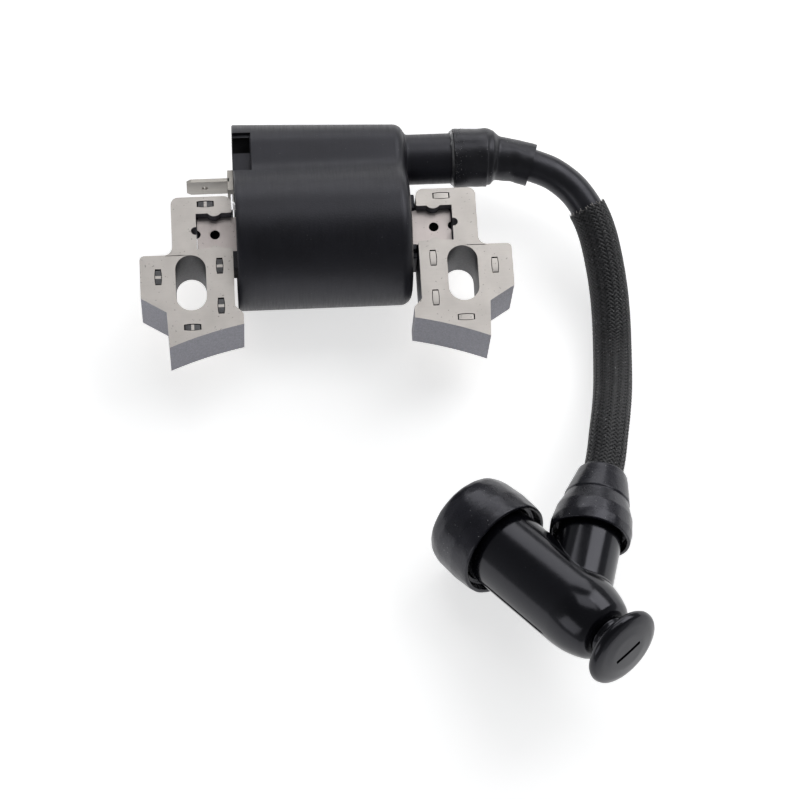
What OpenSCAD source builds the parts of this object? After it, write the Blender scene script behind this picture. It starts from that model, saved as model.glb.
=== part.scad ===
// Ignition coil of a small four-stroke engine: a potted coil on a laminated core,
// with its high-tension lead and an angled spark-plug cap.
// The coil lies on the round back of its case. +X runs along the core's centre bar,
// +Y points away from the flywheel and +Z is the direction of the mounting screws.

/* [Laminated core] */
// Distance between the centres of the two bolt slots
slot_spacing = 57; // [56.6:0.1:57.6]
// Width of a bolt slot, for a 6 mm screw
slot_w = 6.4; // [6:0.1:6.8]
// Length of a bolt slot from end to end
slot_len = 12.4; // [11.6:0.1:13]
// Thickness of the stack of laminations in each leg
leg_t = 13.4; // [12.6:0.1:14.2]
// Thickness of the stack of laminations in the centre bar
bar_t = 8.9; // [7:0.1:9]
// Height of the centre bar
bar_h = 8; // [7.6:0.1:8.2]
// Radius of the flywheel rim that the two feet face
flywheel_r = 88.9; // [84:0.1:96]
// Width over both mounting ears
ear_span = 78.2; // [77.6:0.1:79]

/* [Coil case] */
// Radius of the case's barrel
barrel_r = 14.9; // [14.8:0.1:15.2]
// Radius of the electronics lobe at its open end
lobe_r = 8.75; // [8.6:0.05:9]
// Height of the lobe's axis above the centre bar's axis
lobe_rise = 17.8; // [17.4:0.1:18.2]
// Length of the moulded case
case_len = 36.8; // [36.4:0.1:37]
// Thickness of the case's wall
case_wall = 1.6; // [1.4:0.1:1.8]
// Outer diameter of the high-tension tower
tower_d = 10.8; // [10.6:0.1:11]

/* [High-tension lead] */
// Outer diameter of the lead's insulation
lead_d = 7; // [6.8:0.1:7.1]
// Outer diameter of the braided sleeve
sleeve_d = 8.5; // [8.4:0.1:8.6]

/* [Plug cap] */
// Angle between the lead and the spark plug's axis
cap_angle = 53.5; // [52:0.5:55]
// Diameter of the cap's barrel
cap_d = 17; // [16.8:0.1:17.2]
// Bore that takes the spark plug's insulator
plug_bore_d = 11.6; // [11.2:0.1:11.8]
// Diameter of the pull knob
knob_d = 17.2; // [16.6:0.1:17.6]

/* [Hidden] */

$fn = 64;
eps = 0.01;
// Gap between pieces that only slide or stack together
fit_gap = 0.05;

// Core outline, from the centre bar's axis
leg_in = 19.5;
leg_out = 32.2;
leg_top = 7.9;
foot_in = 17.8;
foot_out = 33.4;
foot_low = 26;
ear_top = -5.2;
ear_low = -14.7;
ear_fillet = 1.8;
slant_low = -18.1;
step_top = -17.1;
step_low = -18.9;
slot_y = -11.6;
window_end = 27;
bar_end = 26.6;
lock_x = 23.1;
lock_r = 1.7;
// Centre of the flywheel, so that the foot's outer corner lies at foot_low
wheel_y = -foot_low - sqrt(flywheel_r * flywheel_r - foot_out * foot_out);

// Interlock dimples as [x, y, turned on end]
dimples = [[24.9, 6.2, 0], [22.4, -8, 1], [35.3, -10.1, 1], [22.4, -17, 1], [28.5, -21.6, 0]];
dimple_size = [3.6, 1.4];
dimple_depth = 0.35;

// Case, from the centre bar's axis
case_left = -18.7;
case_right = case_left + case_len;
// Radius that the lobe loses along the moulding
lobe_draft = 1.1;
// The barrel and the bar's stake holes lie a little above the middle of the bar's windows
barrel_rise = 0.3;
case_round = 2.4;
tower_end = 32;
lead_start = 22;
pin_r = 1.3;
// Pitch of the secondary bobbin's flanges
chamber = 5.15;

// Whole coil: its box is centred on the origin in X and Y, and the barrel rests at Z = 0
bar_y = (foot_low - lobe_rise - lobe_r) / 2;
bar_z = barrel_r;

// Lead: hand-laid route from inside the tower to inside the cap
lead_route = [
    [22, 17.5, 14.9], [28, 17.5, 14.9], [34, 17.5, 14.9], [38, 17.2, 14.8], [42, 16.5, 14.6],
    [46, 15.2, 14.4], [50.2, 13.3, 13.9], [54.1, 10.1, 13], [57, 5.9, 11.8], [58.9, 1, 10.3],
    [60.1, -5, 8.4], [60.8, -11, 6.6], [61, -17, 5.3], [60.8, -23, 4.7], [60.3, -29, 5.8],
    [59.6, -34.6, 7.9], [58.6, -40, 10.4], [57.4, -45.6, 12.6], [56.1, -51.8, 14.1],
    [54.1, -58.8, 15.6], [52.1, -65.8, 17.1], [50.1, -72.8, 18.6]
];
lead_r = lead_d / 2;
core_r = 1.2;
jacket_bore_r = 1.35;
lead_sides = 12;

// Cap: it turns about the line of the lead's last straight stretch
lead_tip = lead_route[len(lead_route) - 1];
lead_entry = lead_route[len(lead_route) - 4];
branch_dir = unit(lead_entry - lead_tip);
// Distance from the cap's joint of axes to the lead's tip
tip_reach = 14;
cap_joint = lead_tip - tip_reach * branch_dir;
cap_heading = atan2(branch_dir[1], branch_dir[0]);
cap_lean = acos(branch_dir[2]);
cap_spin = 72;
cap_r = cap_d / 2;
branch_r = 6.7;
// Narrower end of the branch, inside the boot
spigot_r = 5.2;
lead_bore_r = lead_r + 0.3;
// Inside the barrel, from the joint of axes: socket, then the bore for the plug's insulator
socket_z = 10.2;
socket_r = 4.1;
ring_z0 = 14.4;
plug_bore_z = 17.3;
barrel_end = 29.6;
neck_z = -9.5;

function unit(v) = v / norm(v);

// ---- Helpers ----

// Moves a piece drawn about the centre bar's axis to its place
module at_bar() translate([0, bar_y, bar_z]) children();

// Turns a profile given as [radius, x] points about the X axis
module turned_x(profile, x = 0) translate([x, 0, 0]) rotate([0, 90, 0]) rotate_extrude() polygon(profile);

// A cylinder along X from x0 to x1
module rod_x(x0, x1, r) translate([x0, 0, 0]) rotate([0, 90, 0]) cylinder(h = x1 - x0, r = r);

// A ring along X
module ring_x(x0, x1, r_in, r_out) difference() {
    rod_x(x0, x1, r_out);
    rod_x(x0 - 1, x1 + 1, r_in);
}

// A block from one corner to the opposite one
module block(low, high) translate(low) cube(high - low);

// The waste outside a rounded corner at [x, y]; sx and sy point into the corner
module corner_waste(x, y, r, sx, sy) translate([x, y]) difference() {
    translate([sx > 0 ? -r : -eps, sy > 0 ? -r : -eps]) square(r + eps);
    translate([-sx * r, -sy * r]) circle(r);
}

// Rings swept along points; radii holds one radius for each point
function path_dir(p, i) = unit(p[min(i + 1, len(p) - 1)] - p[max(i - 1, 0)]);
function ring_points(p, radii, sides) = [
    for (i = [0:len(p) - 1])
        let (d = path_dir(p, i), u = unit(cross(d, [0, 0, 1])), v = cross(u, d))
        for (k = [0:sides - 1])
            p[i] + radii[i] * (cos(360 * k / sides) * u + sin(360 * k / sides) * v)
];
function wall_faces(rings, sides, from, flip) = [
    for (i = [0:rings - 2], k = [0:sides - 1])
        let (a = from + i * sides + k, b = from + i * sides + (k + 1) % sides, c = b + sides, d = a + sides)
        flip ? [a, d, c, b] : [a, b, c, d]
];

// A solid bar swept along points
module swept_bar(p, r, sides) {
    last = (len(p) - 1) * sides;
    polyhedron(
        points = ring_points(p, [for (q = p) r], sides),
        faces = concat(
            wall_faces(len(p), sides, 0, false),
            [[for (k = [sides - 1:-1:0]) k]],
            [[for (k = [0:sides - 1]) last + k]]
        )
    );
}

// A hollow tube swept along points, with one outer and one inner radius for each point
module swept_tube(p, outer, inner, sides) {
    n = len(p);
    last = (n - 1) * sides;
    in0 = n * sides;
    polyhedron(
        points = concat(ring_points(p, outer, sides), ring_points(p, inner, sides)),
        faces = concat(
            wall_faces(n, sides, 0, false),
            wall_faces(n, sides, in0, true),
            [for (k = [0:sides - 1]) [(k + 1) % sides, k, in0 + k, in0 + (k + 1) % sides]],
            [for (k = [0:sides - 1])
                [last + k, last + (k + 1) % sides, in0 + last + (k + 1) % sides, in0 + last + k]]
        )
    );
}

// ---- Laminated core ----

module leg_outline() {
    half_bar = bar_h / 2;
    difference() {
        polygon([
            [leg_in, leg_top], [leg_out, leg_top],
            [leg_out, ear_top + ear_fillet], [leg_out + ear_fillet, ear_top],
            [ear_span / 2, ear_top], [ear_span / 2, ear_low], [foot_out + 0.4, slant_low],
            [foot_out, -foot_low - 3], [foot_in, -foot_low - 3], [foot_in, step_low],
            [leg_in, step_top]
        ]);
        translate([leg_out + ear_fillet, ear_top + ear_fillet]) circle(ear_fillet);
        translate([0, wheel_y]) circle(flywheel_r, $fn = 256);
        corner_waste(leg_in, leg_top, 1.6, -1, 1);
        corner_waste(leg_out, leg_top, 1.6, 1, 1);
        corner_waste(ear_span / 2, ear_top, 1, 1, 1);
        // Bolt slot
        for (s = [-1, 1]) translate([slot_spacing / 2, slot_y + s * (slot_len - slot_w) / 2]) circle(slot_w / 2);
        translate([slot_spacing / 2, slot_y]) square([slot_w, slot_len - slot_w], center = true);
        // Window for the centre bar, with its two locking bumps and a relief notch
        difference() {
            translate([leg_in - 1, -half_bar]) square([window_end - leg_in + 1, bar_h]);
            translate([lock_x, half_bar + 1]) circle(lock_r);
            translate([lock_x, -half_bar - 1.1]) circle(lock_r);
        }
        translate([window_end + 0.2, 0.1]) circle(0.9);
    }
}

module leg_core() difference() {
    translate([0, 0, -leg_t / 2]) linear_extrude(leg_t) leg_outline();
    for (d = dimples)
        translate([d[0], d[1], leg_t / 2]) rotate(90 * d[2])
            cube([dimple_size[0], dimple_size[1], 2 * dimple_depth], center = true);
}

module left_leg_core() color([0.74, 0.73, 0.71]) at_bar() mirror([1, 0, 0]) leg_core();

module right_leg_core() color([0.74, 0.73, 0.71]) at_bar() leg_core();

module centre_bar_core() color([0.7, 0.69, 0.67]) at_bar()
    translate([0, 0, -bar_t / 2]) linear_extrude(bar_t) difference() {
        square([2 * bar_end, bar_h - 2 * fit_gap], center = true);
        for (s = [-1, 1]) {
            translate([s * lock_x, 0]) circle(1);
            translate([s * lock_x, bar_h / 2 + 1]) circle(lock_r + fit_gap);
            translate([s * lock_x, -bar_h / 2 - 1.1]) circle(lock_r + fit_gap);
            translate([s * (bar_end + 0.2), 0.2]) circle(0.9);
        }
    }

// ---- Coil ----

// One round stretch of the case, at its rise above the bar's axis, with a rounded closed end
module case_round_body(rise, r, draft) translate([0, rise, 0]) difference() {
    turned_x([[0, case_left], [r, case_left], [r - draft, case_right], [0, case_right]]);
    rotate([0, 90, 0]) translate([0, 0, case_right]) rotate_extrude()
        translate([r - draft, 0]) difference() {
            translate([-case_round, -case_round]) square(2 * case_round);
            translate([-case_round - eps, -case_round]) circle(case_round);
        }
}

module case_cavity(wall) {
    depth = case_right - case_wall;
    translate([0, barrel_rise, 0]) rod_x(case_left - 1, depth, barrel_r - wall);
    translate([0, lobe_rise, 0]) rod_x(case_left - 1, depth, lobe_r - lobe_draft - wall);
}

module outer_case() color([0.13, 0.13, 0.14]) at_bar() difference() {
    union() {
        case_round_body(barrel_rise, barrel_r, 0);
        case_round_body(lobe_rise, lobe_r, lobe_draft);
        // Waist that fills the valley between barrel and lobe
        block([case_left, 9, -8], [case_right - case_round, 16, 8]);
        // Collar round the centre bar, and the spacer lug below it
        block([case_right - 1, -5.4, -5.2], [leg_in - 0.2, 7.4, 5.2]);
        block([case_right - 1, -6.8, -4], [leg_in - fit_gap, -4.2, 4]);
        translate([0, lobe_rise, 0]) rod_x(case_right - 2, tower_end, tower_d / 2);
    }
    case_cavity(case_wall);
    block([case_right - 3, -bar_h / 2, -bar_t / 2 - fit_gap], [leg_in + 1, bar_h / 2, bar_t / 2 + fit_gap]);
    translate([0, lobe_rise, 0]) {
        rod_x(case_right - 3, lead_start + 1, pin_r + fit_gap);
        rod_x(lead_start - fit_gap, tower_end + 1, lead_r + 0.15);
    }
    // Flat rebate on the lobe at the open end, with a keying pocket in it
    block([case_left - 1, 12.3, 6.7], [case_left + 3.9, 22, 12]);
    block([case_left - 1, 17.6, 6.3], [case_left + 3.7, 21.2, 12]);
}

module epoxy_potting() color([0.22, 0.22, 0.2]) at_bar() difference() {
    intersection() {
        case_cavity(case_wall + fit_gap);
        block([case_left + 0.6, -20, -20], [-12, 30, 20]);
    }
    block([case_left - 1, -bar_h / 2 - 0.3, -bar_t / 2 - 0.4], [0, bar_h / 2 + 0.3, bar_t / 2 + 0.4]);
    rod_x(-17.6, 0, 12.7);
    rod_x(case_left - 1, -17, 9.6);
    block([-16.6, 9.6, -5.8], [0, 25, 5.8]);
    block([case_left - 2, 12.95, -2.65], [-16.5, 13.65, 2.65]);
    block([case_left - 2, -8.7, 0.9], [-17, -4.7, 6.7]);
}

module primary_bobbin() color([0.1, 0.1, 0.1]) at_bar() difference() {
    union() {
        rod_x(-18.3, 15.6, 6.4);
        for (x = [-18.3, 14.6]) rod_x(x, x + 1, 9.4);
        // Spacer lug between the coil and the left leg
        block([-leg_in + fit_gap, -8.6, 1], [-17.5, -4.8, 6.6]);
    }
    block([-25, -bar_h / 2, -bar_t / 2 - fit_gap], [25, bar_h / 2, bar_t / 2 + fit_gap]);
}

module primary_winding() color([0.72, 0.36, 0.16]) at_bar() ring_x(-17.25, 14.55, 6.45, 9);

// Former with seven thin flanges, so the fine wire lies in six chambers
module secondary_bobbin() color([0.86, 0.84, 0.78]) at_bar() {
    ring_x(-17.2, 14.5, 9.45, 10.1);
    for (i = [0:6]) ring_x(-17.2 + chamber * i, -16.4 + chamber * i, 9.45, 12.6);
}

module secondary_winding() color([0.62, 0.26, 0.1]) at_bar()
    for (i = [0:5]) ring_x(-16.35 + chamber * i, -12.1 + chamber * i, 10.15, 12.3);

module trigger_board() color([0.1, 0.36, 0.2]) at_bar() block([-16.4, 14, -3.6], [9, 21.6, -2.6]);

module switching_transistor() color([0.1, 0.1, 0.1]) at_bar() {
    block([-2.6, 14.6, -2.55], [4.6, 19, 1.4]);
    block([4.6, 14.6, -2.55], [8, 19, -1.8]);
}

module board_capacitors() color([0.78, 0.6, 0.3]) at_bar() {
    block([-14.6, 14.8, -2.55], [-10.2, 17.4, 1]);
    block([-8.4, 14.8, -2.55], [-4.6, 17.4, 0.4]);
    block([-14.6, 18.8, -2.55], [-11.8, 21.2, -0.4]);
}

module board_resistors() color([0.2, 0.3, 0.5]) at_bar()
    for (x = [-9.6, -5.6, -1.6, 2.4]) block([x, 19.8, -2.55], [x + 2.6, 21.2, -1.9]);

// Push-on terminal, 6.3 mm wide and 0.8 mm thick, on a base plate set in the potting
module kill_terminal_blade() color([0.72, 0.7, 0.66]) at_bar() {
    difference() {
        block([-28.7, 12.8, -3.15], [-19.6, 13.6, 3.15]);
        translate([-24.8, 14, 0]) rotate([90, 0, 0]) cylinder(h = 3, r = 0.65);
        for (s = [-1, 1]) translate([-28.7, 13.2, s * 3.15]) rotate([0, 45, 0]) cube([1.3, 3, 1.3], center = true);
    }
    block([-20, 10.8, -3.15], [-18.8, 15.4, 3.15]);
    block([-18.8, 13, -2.6], [-16.9, 13.6, 2.6]);
}

// Springy strip that joins the winding's earth end to the left leg
module ground_strap() color([0.85, 0.85, 0.87]) at_bar() {
    block([-leg_in + fit_gap, 5, -1], [-leg_in + 0.4, 8.6, 5.8]);
    block([-leg_in + 0.4, 8, -1], [-18.35, 8.6, 1.6]);
}

module tower_contact_pin() color([0.8, 0.66, 0.32]) translate([0, bar_y + lobe_rise, bar_z]) {
    rod_x(13.5, lead_start - 0.1, pin_r);
    turned_x([[0, lead_start - 0.1], [pin_r - 0.2, lead_start - 0.1], [0.2, 27.5], [0, 27.5]]);
    rod_x(11.5, 13.5, 2.4);
}

// ---- High-tension lead ----

module heat_shrink_tube() color([0.09, 0.09, 0.1]) {
    route = [
        [28.6, 17.5, 14.9], [35.6, 17.4, 14.9], [36.6, 17.3, 14.9], [38.2, 17.2, 14.8],
        [42, 16.5, 14.6], [45.2, 15.5, 14.4]
    ];
    outer = [6.35, 6.35, 6.2, 4.7, 4.6, 4.6];
    inner = [5.6, 5.6, 5, 3.8, 3.75, 3.75];
    swept_tube(route, outer, inner, 16);
}

module adhesive_bead() color([0.5, 0.5, 0.5]) translate([0, bar_y + lobe_rise, bar_z])
    rotate([0, 90, 0]) translate([0, 0, 27.9]) rotate_extrude() translate([5.45, 0]) square([0.7, 0.45]);

module ht_lead_jacket() color([0.08, 0.08, 0.09])
    swept_tube(lead_route, [for (p = lead_route) lead_r], [for (p = lead_route) jacket_bore_r], lead_sides);

// Stranded copper, without the last stretch at either end
module ht_lead_conductor() color([0.75, 0.42, 0.22]) {
    n = len(lead_route);
    body = [for (i = [1:n - 2]) lead_route[i]];
    swept_bar(body, core_r, 8);
}

module braided_sleeve() color([0.12, 0.12, 0.12]) {
    n = len(lead_route);
    // From where the lead turns down to inside the lead boot
    body = concat([for (i = [8:n - 4]) lead_route[i]], [lead_tip + 16 * branch_dir]);
    wall = 0.45;
    outer = [for (p = body) sleeve_d / 2];
    inner = [for (p = body) sleeve_d / 2 - wall];
    swept_tube(body, outer, inner, lead_sides);
}

// ---- Plug cap ----

// Cap frame: the origin is where both axes cross, and +Z runs along the branch to the lead
module at_cap() translate(cap_joint) rotate([0, cap_lean, cap_heading]) rotate([0, 0, cap_spin]) children();

// Plug frame: +Z runs along the barrel towards the spark plug
module at_plug() at_cap() rotate([0, cap_angle, 0]) children();

module ring_z(z0, z1, r_in, r_out) translate([0, 0, z0]) difference() {
    cylinder(h = z1 - z0, r = r_out);
    translate([0, 0, -1]) cylinder(h = z1 - z0 + 2, r = r_in);
}

// Rubber boot on the branch: a stepped cone with an open skirt at its wide end
module lead_boot() color([0.1, 0.1, 0.11]) at_cap() rotate_extrude() polygon([
    [branch_r + fit_gap, 19.1], [7.5, 19.1], [7.7, 16.8], [8.4, 16.8], [8.5, 19], [8, 22],
    [6.75, 25.4], [6.9, 25.8], [5.8, 30], [5.25, 32], [sleeve_d / 2 + 0.35, 32.6],
    [sleeve_d / 2 + 0.35, 26.2], [spigot_r + fit_gap, 26.2], [spigot_r + fit_gap, 20.05],
    [branch_r + fit_gap, 20.05]
]);

module plug_cap_body() color([0.05, 0.05, 0.06]) difference() {
    union() {
        at_plug() {
            cylinder(h = barrel_end, r = cap_r);
            // Shoulder that rounds in behind the branch
            rotate_extrude() polygon([
                [0, 1], [cap_r, 1], [cap_r, -1.2], [cap_r - 0.3, -4], [cap_r - 1, -6.6],
                [cap_r - 1.8, -8.5], [cap_r - 3, neck_z], [0, neck_z]
            ]);
            // Mould parting lines: one at each side of the branch, one opposite it
            for (turn = [0, 130, 230])
                rotate(turn) translate([cap_r, 0, 10.8]) cube([0.4, 0.4, 20.4], center = true);
        }
        at_cap() {
            cylinder(h = 20, r = branch_r);
            cylinder(h = 26, r = spigot_r);
        }
    }
    // Bores for the plug, the socket, the resistor's stack and the knob's spigot
    at_plug() {
        translate([0, 0, plug_bore_z]) cylinder(h = 20, r = plug_bore_d / 2);
        translate([0, 0, ring_z0 - 1]) cylinder(h = 6, r = socket_r + 1);
        translate([0, 0, socket_z]) cylinder(h = 5, r = socket_r + fit_gap);
        translate([0, 0, -1.5]) cylinder(h = socket_z + 2.5, r = 2.95);
        translate([0, 0, -12]) cylinder(h = 5, r = 2.15);
    }
    // Bores for the screw terminal and the lead
    at_cap() {
        cylinder(h = 8, r = 1.15);
        translate([0, 0, 5.3]) cylinder(h = 9, r = 2.65);
        translate([0, 0, tip_reach - 0.3]) cylinder(h = 20, r = lead_bore_r);
    }
}

// Screw-in end plug with a mushroom head, to pull the cap off the spark plug
module pull_knob() color([0.05, 0.05, 0.06]) at_plug() difference() {
    knob_r = knob_d / 2;
    rotate_extrude() polygon([
        [0, -7.2], [2.1, -7.2], [2.1, neck_z - fit_gap], [4.4, neck_z - fit_gap], [3.8, -10.4],
        [3.7, -11.4], [knob_r - 1.6, -12.3], [knob_r - 0.3, -13], [knob_r, -13.8],
        [knob_r - 0.35, -14.7], [knob_r - 1.7, -15.3], [4.2, -15.7], [0, -15.8]
    ]);
    // Shallow slot across the head
    translate([0, 0, -15.8]) cube([6.4, 0.7, 0.9], center = true);
}

// Rubber seal that closes over the spark plug's insulator
module plug_seal_boot() color([0.09, 0.09, 0.1]) at_plug() rotate_extrude() polygon([
    [cap_r + fit_gap, 23.2], [9.7, 23.2], [9.9, 21.3], [10.7, 21.3], [10.8, 22.5], [11, 26],
    [10.8, 30], [10.45, 32], [9.9, 33.2], [9.2, 33.8], [6.3, 33.8], [5.9, 33.4],
    [5.9, barrel_end + 0.1], [cap_r + fit_gap, barrel_end + 0.1]
]);

module plug_terminal_socket() color([0.8, 0.66, 0.32]) at_plug() difference() {
    ring_z(socket_z + 0.1, plug_bore_z - 0.3, 3.25, socket_r);
    // Two slots across let the socket spring open
    translate([0, 0, plug_bore_z - 1]) cube([0.8, 12, 7], center = true);
}

// Open wire ring that squeezes the slotted socket onto the plug's terminal nut
module socket_snap_ring() color([0.8, 0.8, 0.82]) at_plug() difference() {
    ring_z(ring_z0, ring_z0 + 0.7, socket_r + fit_gap, socket_r + 0.75);
    translate([4.5, 0, ring_z0]) cube([4, 2.4, 4], center = true);
}

module contact_spring() color([0.82, 0.82, 0.84]) at_plug() {
    turns = 3;
    steps = 14;
    low = 3.6;
    height = 1.6;
    coil = [
        for (i = [0:turns * steps])
            [2.2 * cos(360 * i / steps), 2.2 * sin(360 * i / steps), low + height * i / (turns * steps)]
    ];
    swept_bar(coil, 0.2, 6);
}

module suppressor_resistor() color([0.85, 0.83, 0.78]) at_plug() {
    translate([0, 0, 5.6]) cylinder(h = 4.4, r = 2.3);
    for (z = [5.5, 9.3]) translate([0, 0, z]) cylinder(h = 0.8, r = 2.6);
}

// Brass screw: its point threads into the lead's strands, and its nose meets the spring
module lead_screw_terminal() color([0.8, 0.66, 0.32]) at_cap() {
    translate([0, 0, 0.8]) cylinder(h = 5, r = 1);
    translate([0, 0, 5.6]) cylinder(h = 7.6, r = 2.5);
    translate([0, 0, 13.2]) cylinder(h = 6.2, r1 = 1, r2 = 0.3);
}

left_leg_core();
right_leg_core();
centre_bar_core();
outer_case();
epoxy_potting();
primary_bobbin();
primary_winding();
secondary_bobbin();
secondary_winding();
trigger_board();
switching_transistor();
board_capacitors();
board_resistors();
kill_terminal_blade();
ground_strap();
tower_contact_pin();
heat_shrink_tube();
adhesive_bead();
ht_lead_jacket();
ht_lead_conductor();
braided_sleeve();
lead_boot();
plug_cap_body();
pull_knob();
plug_seal_boot();
plug_terminal_socket();
socket_snap_ring();
contact_spring();
suppressor_resistor();
lead_screw_terminal();
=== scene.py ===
"""Looks of the ignition coil: its core, case, lead, sleeve and plug cap in the CAD frame."""

import math
import random

import bmesh
import bpy
from mathutils import Matrix, Vector, noise
from mathutils.geometry import tessellate_polygon


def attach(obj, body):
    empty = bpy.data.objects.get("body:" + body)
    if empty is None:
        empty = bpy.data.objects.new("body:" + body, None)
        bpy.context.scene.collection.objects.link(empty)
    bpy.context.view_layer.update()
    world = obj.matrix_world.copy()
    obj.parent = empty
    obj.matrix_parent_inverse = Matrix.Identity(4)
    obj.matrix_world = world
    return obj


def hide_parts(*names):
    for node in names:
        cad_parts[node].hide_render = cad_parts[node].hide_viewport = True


# Shapes are written in millimetres and made in metres
MM = 0.001
TAU = 2 * math.pi

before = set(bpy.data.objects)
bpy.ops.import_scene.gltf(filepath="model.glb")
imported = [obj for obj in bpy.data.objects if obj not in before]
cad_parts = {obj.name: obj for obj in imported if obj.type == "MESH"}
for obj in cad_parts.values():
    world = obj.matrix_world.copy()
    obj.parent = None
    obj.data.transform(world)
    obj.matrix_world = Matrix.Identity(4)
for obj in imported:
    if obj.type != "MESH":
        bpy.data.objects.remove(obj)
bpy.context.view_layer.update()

# ---- Camera ----

camera_data = bpy.data.cameras.new("camera")
camera_data.sensor_width = 36
camera_data.lens = 141.8
camera_data.clip_start = 0.05
camera_data.clip_end = 10
camera = bpy.data.objects.new("camera", camera_data)
camera.location = (-0.02541, -0.26462, 0.63033)
camera.rotation_euler = [math.radians(turn) for turn in (20.41, -2.43, -3.335)]
bpy.context.scene.collection.objects.link(camera)
bpy.context.scene.camera = camera


# ---- Material helpers ----

def node(material, kind, **settings):
    """Adds a shader node, with its plain settings."""
    made = material.node_tree.nodes.new(kind)
    for name, value in settings.items():
        setattr(made, name, value)
    return made


def link(material, source, target):
    material.node_tree.links.new(source, target)


def principled(material):
    return material.node_tree.nodes["Principled BSDF"]


def base_material(name, color, roughness, metallic=0.0, specular=0.5, coat=0.0):
    """A plain principled material, ready for the procedural parts below."""
    material = bpy.data.materials.new(name)
    material.use_nodes = True
    inputs = principled(material).inputs
    inputs["Base Color"].default_value = (*color, 1)
    inputs["Roughness"].default_value = roughness
    inputs["Metallic"].default_value = metallic
    inputs["Specular IOR Level"].default_value = specular
    inputs["Coat Weight"].default_value = coat
    inputs["Coat Roughness"].default_value = 0.1
    return material


def noise_field(material, scale, stretch=(1, 1, 1), detail=3.0):
    """Noise fixed to the piece; scale is in features per millimetre along each axis."""
    coordinates = node(material, "ShaderNodeTexCoord")
    mapping = node(material, "ShaderNodeMapping")
    mapping.inputs["Scale"].default_value = [scale * s / MM for s in stretch]
    texture = node(material, "ShaderNodeTexNoise")
    texture.inputs["Scale"].default_value = 1
    texture.inputs["Detail"].default_value = detail
    link(material, coordinates.outputs["Object"], mapping.inputs["Vector"])
    link(material, mapping.outputs["Vector"], texture.inputs["Vector"])
    return texture.outputs["Fac"]


def ramp(material, source, low, high, color_low, color_high):
    """Maps a field between low and high onto two colours."""
    made = node(material, "ShaderNodeValToRGB")
    made.color_ramp.elements[0].position = low
    made.color_ramp.elements[0].color = (*color_low, 1)
    made.color_ramp.elements[1].position = high
    made.color_ramp.elements[1].color = (*color_high, 1)
    link(material, source, made.inputs["Fac"])
    return made.outputs["Color"]


def mix_colors(material, mode, first, second):
    """Mixes two colour outputs at full strength."""
    made = node(material, "ShaderNodeMixRGB", blend_type=mode)
    made.inputs["Fac"].default_value = 1
    link(material, first, made.inputs["Color1"])
    link(material, second, made.inputs["Color2"])
    return made.outputs["Color"]


def map_range(material, source, low, high, out_low, out_high):
    """Maps a field between low and high onto two plain values."""
    made = node(material, "ShaderNodeMapRange")
    limits = {"From Min": low, "From Max": high, "To Min": out_low, "To Max": out_high}
    for name, value in limits.items():
        made.inputs[name].default_value = value
    link(material, source, made.inputs["Value"])
    return made.outputs["Result"]


def bump(material, source, depth_mm, under=None):
    """Adds relief of the given depth, on top of another relief if there is one."""
    made = node(material, "ShaderNodeBump")
    made.inputs["Strength"].default_value = 1
    made.inputs["Distance"].default_value = depth_mm * MM
    link(material, source, made.inputs["Height"])
    if under is not None:
        link(material, under, made.inputs["Normal"])
    link(material, made.outputs["Normal"], principled(material).inputs["Normal"])
    return made.outputs["Normal"]


def set_color(material, source):
    link(material, source, principled(material).inputs["Base Color"])


def set_roughness(material, source):
    link(material, source, principled(material).inputs["Roughness"])


# Black plastic and rubber mirror the room in a slightly cool tone
COOL_GLOSS = (0.9, 0.9, 1, 1)


def moulded(name, color, roughness, speck=0.0, grain=0.01, grain_scale=3.0, spread=0.25,
            streak=(1, 1, 1), **more):
    """Plastic or rubber: slightly uneven colour and gloss, fine grain, and a few pale dust specks."""
    material = base_material(name, color, roughness, **more)
    principled(material).inputs["Specular Tint"].default_value = COOL_GLOSS
    cloudy = noise_field(material, 0.16, detail=4)
    low = [c * (1 - spread) for c in color]
    high = [c * (1 + spread) for c in color]
    shade = ramp(material, cloudy, 0.35, 0.65, low, high)
    if speck:
        dust = ramp(material, noise_field(material, 2.4, detail=2), 0.735, 0.76, (0, 0, 0), (speck,) * 3)
        shade = mix_colors(material, "ADD", shade, dust)
    set_color(material, shade)
    uneven = noise_field(material, 0.5, stretch=streak, detail=5)
    set_roughness(material, map_range(material, uneven, 0.3, 0.7, roughness * 0.85, roughness * 1.15))
    bump(material, noise_field(material, grain_scale, detail=2), grain)
    return material


def sheet_metal(name, color, roughness, brush):
    """Bare metal with fine brush lines along one axis, small pits and a little tarnish."""
    material = base_material(name, color, roughness, metallic=1.0)
    lines = noise_field(material, 1.0, stretch=brush, detail=4)
    tarnish = ramp(material, noise_field(material, 0.22, detail=5), 0.3, 0.7,
                   [c * 0.92 for c in color], [min(1, c * 1.05) for c in color])
    streaks = ramp(material, lines, 0.25, 0.75, (0.93, 0.93, 0.93), (1, 1, 1))
    shade = mix_colors(material, "MULTIPLY", tarnish, streaks)
    pits = ramp(material, noise_field(material, 1.7, detail=1), 0.25, 0.3, (0.62, 0.62, 0.62), (1, 1, 1))
    set_color(material, mix_colors(material, "MULTIPLY", shade, pits))
    set_roughness(material, map_range(material, lines, 0.2, 0.8, roughness * 0.85, roughness * 1.2))
    bump(material, lines, 0.01)
    return material


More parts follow.
